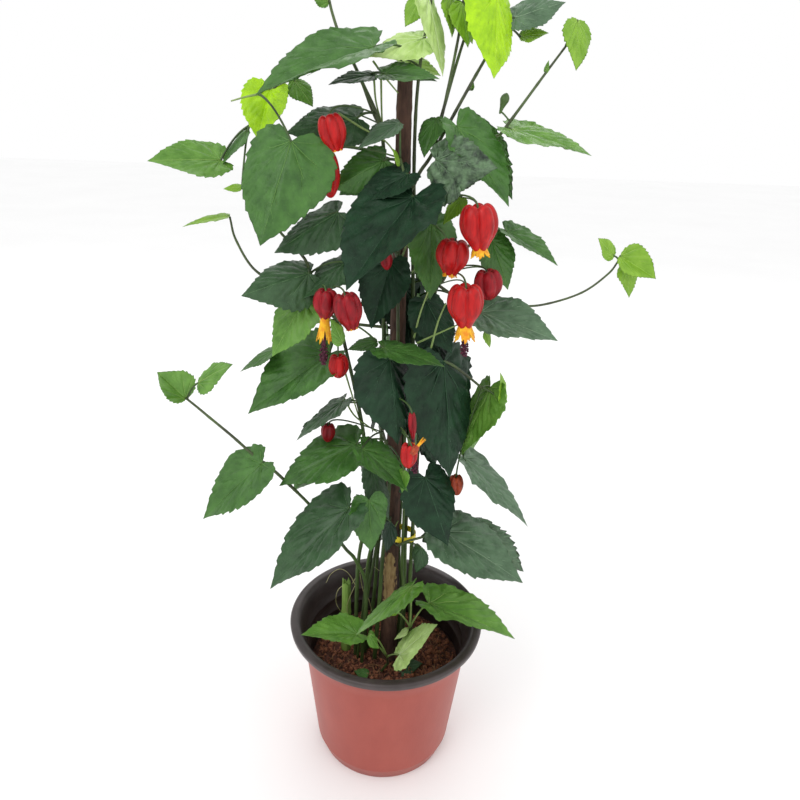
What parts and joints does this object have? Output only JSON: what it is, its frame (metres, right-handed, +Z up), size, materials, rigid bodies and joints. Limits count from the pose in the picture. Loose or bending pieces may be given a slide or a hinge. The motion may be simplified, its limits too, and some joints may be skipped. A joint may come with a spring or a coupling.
{
  "type": "potted abutilon",
  "caption": "Potted trailing abutilon: leafy shoots and hanging lantern flowers on upright stems in a round nursery pot of soil.",
  "frame": {"origin": "centre of the pot's flat underside", "axes": "+Z up through the trunk; the plant is looked at from -Y, +X to the viewer's right"},
  "size_m": [0.3539, 0.1926, 0.6125],
  "materials": {
    "terracotta_plastic": "moulded nursery-pot plastic, terracotta outside and black-brown at the rim and inside",
    "potting_soil": "crumbly dark red-brown potting soil",
    "bark": "brown bark with pale lengthwise streaks",
    "green_stem": "smooth green young wood",
    "cut_cane": "pale green cut stump",
    "yellow_tie": "flat yellow tie band",
    "leaf_green": "soft matt leaves from lime to deep green, red calyxes and yellow petals"
  },
  "bodies": {
    "root": {"cut_cane": "cut_cane", "foliage_back_centre": "leaf_green", "foliage_back_centre_low": "leaf_green", "foliage_back_left_middle": "leaf_green", "foliage_back_low_left": "leaf_green", "foliage_back_low_right": "leaf_green", "foliage_back_right_low": "leaf_green", "foliage_back_right_middle": "leaf_green", "foliage_back_right_upper": "leaf_green", "foliage_back_top_left": "leaf_green", "foliage_back_top_right": "leaf_green", "foliage_basal_left": "leaf_green", "foliage_basal_right": "leaf_green", "foliage_centre": "leaf_green", "foliage_centre_low": "leaf_green", "foliage_left_middle": "leaf_green", "foliage_low_left": "leaf_green", "foliage_low_right": "leaf_green", "foliage_right_low": "leaf_green", "foliage_right_middle": "leaf_green", "foliage_right_upper": "leaf_green", "foliage_top": "leaf_green", "foliage_top_left": "leaf_green", "foliage_top_right": "leaf_green", "foliage_trailing_left": "leaf_green", "pot": "terracotta_plastic", "soil": "potting_soil", "stem_basal_left": "green_stem", "stem_basal_right": "green_stem", "stem_left": "green_stem", "stem_left_outer": "green_stem", "stem_long_left": "green_stem", "stem_right": "green_stem", "stem_right_outer": "green_stem", "tie": "yellow_tie", "trunk": "bark"}
  },
  "joints": []
}
